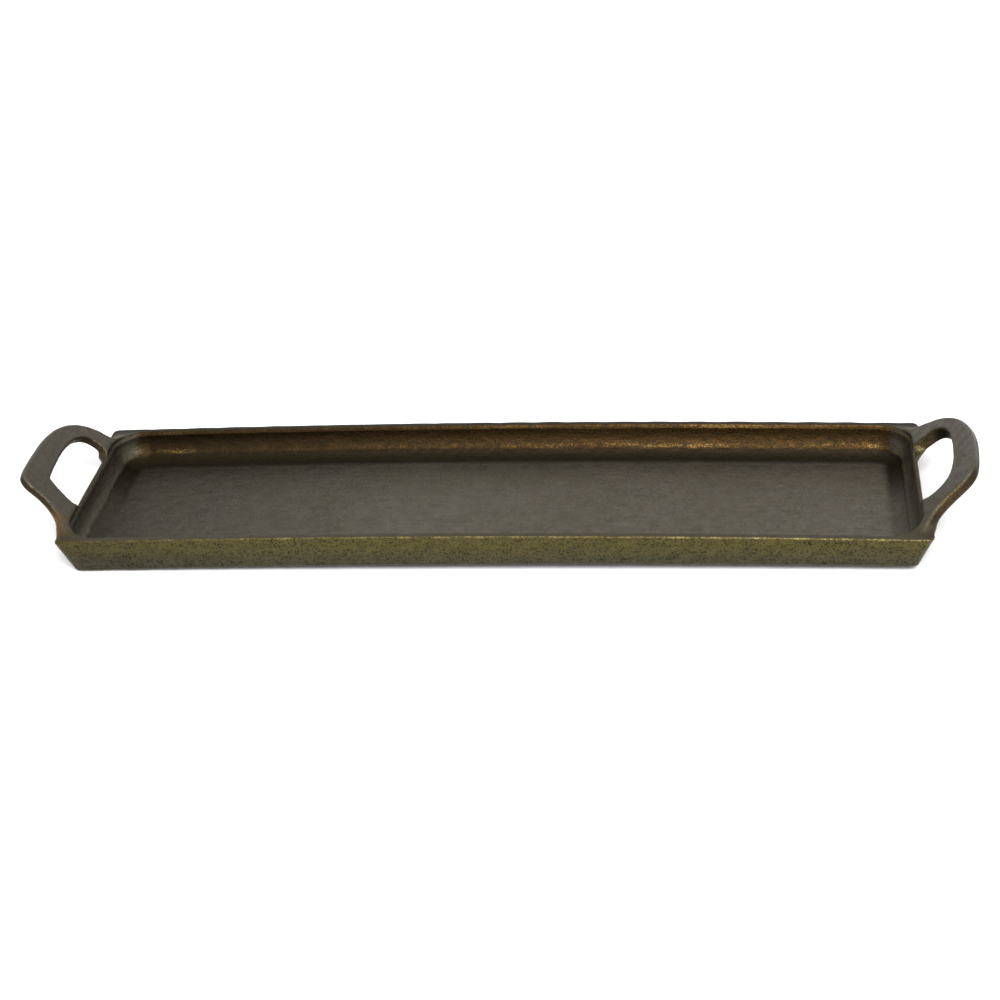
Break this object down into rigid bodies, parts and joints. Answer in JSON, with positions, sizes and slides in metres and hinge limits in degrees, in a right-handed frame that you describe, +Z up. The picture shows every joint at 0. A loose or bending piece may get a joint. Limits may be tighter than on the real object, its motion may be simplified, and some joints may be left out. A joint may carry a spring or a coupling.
{
  "type": "serving tray",
  "caption": "Long narrow cast brass serving tray with a shallow round-cornered hollow, a raised loop handle at each end and felt pads under its corners.",
  "frame": {"origin": "on the surface that the tray stands on, under the middle of the tray", "axes": "+X along the tray towards its right handle, +Y towards its back, +Z up"},
  "size_m": [0.6162, 0.152, 0.0555],
  "materials": {
    "pan_brass": "antique brass, satin on the ground faces and finely pitted where it is as cast",
    "handle_brass": "antique brass, satin, with golden rubbed edges",
    "braze_metal": "brazing brass, dressed smooth and darkened",
    "felt": "pressed wool felt"
  },
  "bodies": {
    "root": {"tray_pan": "pan_brass", "handle_left": "handle_brass", "handle_right": "handle_brass", "braze_left_front": "braze_metal", "braze_left_back": "braze_metal", "braze_right_front": "braze_metal", "braze_right_back": "braze_metal", "pad_left_front": "felt", "pad_left_back": "felt", "pad_right_front": "felt", "pad_right_back": "felt"}
  },
  "joints": []
}
